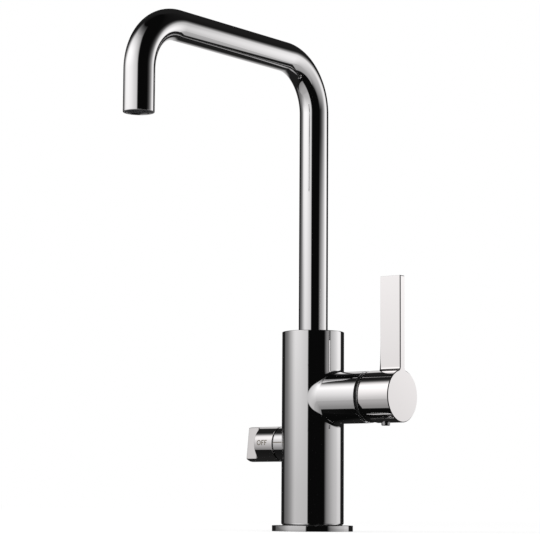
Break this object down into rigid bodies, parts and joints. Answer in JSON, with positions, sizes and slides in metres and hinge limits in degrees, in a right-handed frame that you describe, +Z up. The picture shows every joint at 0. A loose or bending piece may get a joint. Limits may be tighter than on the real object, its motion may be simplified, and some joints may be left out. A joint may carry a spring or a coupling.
{
  "type": "kitchen faucet",
  "caption": "Single-lever kitchen mixer tap with a square swivelling spout, a side barrel with blade lever and a quarter-turn dishwasher valve.",
  "frame": {"origin": "centre of the base flange's underside, on the deck", "axes": "+Z up along the column, spout towards -Y, lever barrel towards +X, dishwasher valve towards -X"},
  "size_m": [0.152, 0.264, 0.399],
  "materials": {
    "chrome": "polished chrome plating",
    "brass": "plain turned brass",
    "steel": "machined stainless steel",
    "dark_steel": "dark screw steel",
    "white_plastic": "moulded acetal",
    "grey_plastic": "moulded acetal",
    "black_plastic": "black acetal",
    "rubber": "moulded rubber",
    "ceramic": "lapped ceramic"
  },
  "bodies": {
    "mixer_body": {"base_flange": "chrome", "deck_gasket": "rubber", "column_body": "chrome", "cartridge_seals": "rubber", "cartridge_base": "white_plastic", "fixed_disc": "ceramic", "cartridge_housing": "white_plastic", "clamp_nut": "brass", "spacer_ring": "black_plastic", "dome_ring": "chrome", "thrust_washer": "white_plastic", "upper_glide_ring": "black_plastic", "stop_screw": "dark_steel", "valve_collar": "chrome", "valve_headwork": "brass", "valve_seal": "rubber", "valve_fixed_disc": "ceramic"},
    "spout": {"spout_tube": "chrome", "spout_tail": "brass", "lower_glide_ring": "white_plastic", "spout_seals": "rubber", "aerator_seal": "rubber", "aerator_housing": "dark_steel", "aerator_strainer": "white_plastic", "aerator_honeycomb": "grey_plastic"},
    "lever_guide": {"turning_guide": "grey_plastic", "pivot_pin": "steel"},
    "lever": {"lever_stem": "steel", "lever_handle": "chrome", "lever_screw": "dark_steel"},
    "disc_slider": {"moving_disc": "ceramic", "disc_carrier": "grey_plastic"},
    "knob": {"valve_knob": "chrome", "knob_bush": "white_plastic", "valve_spindle": "steel", "spindle_seals": "rubber", "spindle_clip": "steel", "valve_moving_disc": "ceramic"}
  },
  "joints": [
    {"name": "spout_swivel", "type": "hinge", "parent": "mixer_body", "child": "spout", "pos_m": [0, 0, 0.145], "axis": [0, 0, 1], "range_deg": [-60, 60]},
    {"name": "lever_turn", "type": "hinge", "parent": "mixer_body", "child": "lever_guide", "pos_m": [0.042, 0, 0.108], "axis": [1, 0, 0], "range_deg": [-45, 45]},
    {"name": "lever_tilt", "type": "hinge", "parent": "lever_guide", "child": "lever", "pos_m": [0.042, 0, 0.108], "axis": [0, 1, 0], "range_deg": [0, 25]},
    {"name": "disc_slide", "type": "slide", "parent": "lever_guide", "child": "disc_slider", "axis": [0, 0, 1], "range_m": [0, 0.0044]},
    {"name": "knob_turn", "type": "hinge", "parent": "mixer_body", "child": "knob", "pos_m": [-0.04, 0, 0.0715], "axis": [-1, 0, 0], "range_deg": [0, 90]}
  ],
  "couplings": [
    {"joint": "disc_slide", "follows": "lever_tilt", "m_per_rad": 0.01}
  ]
}
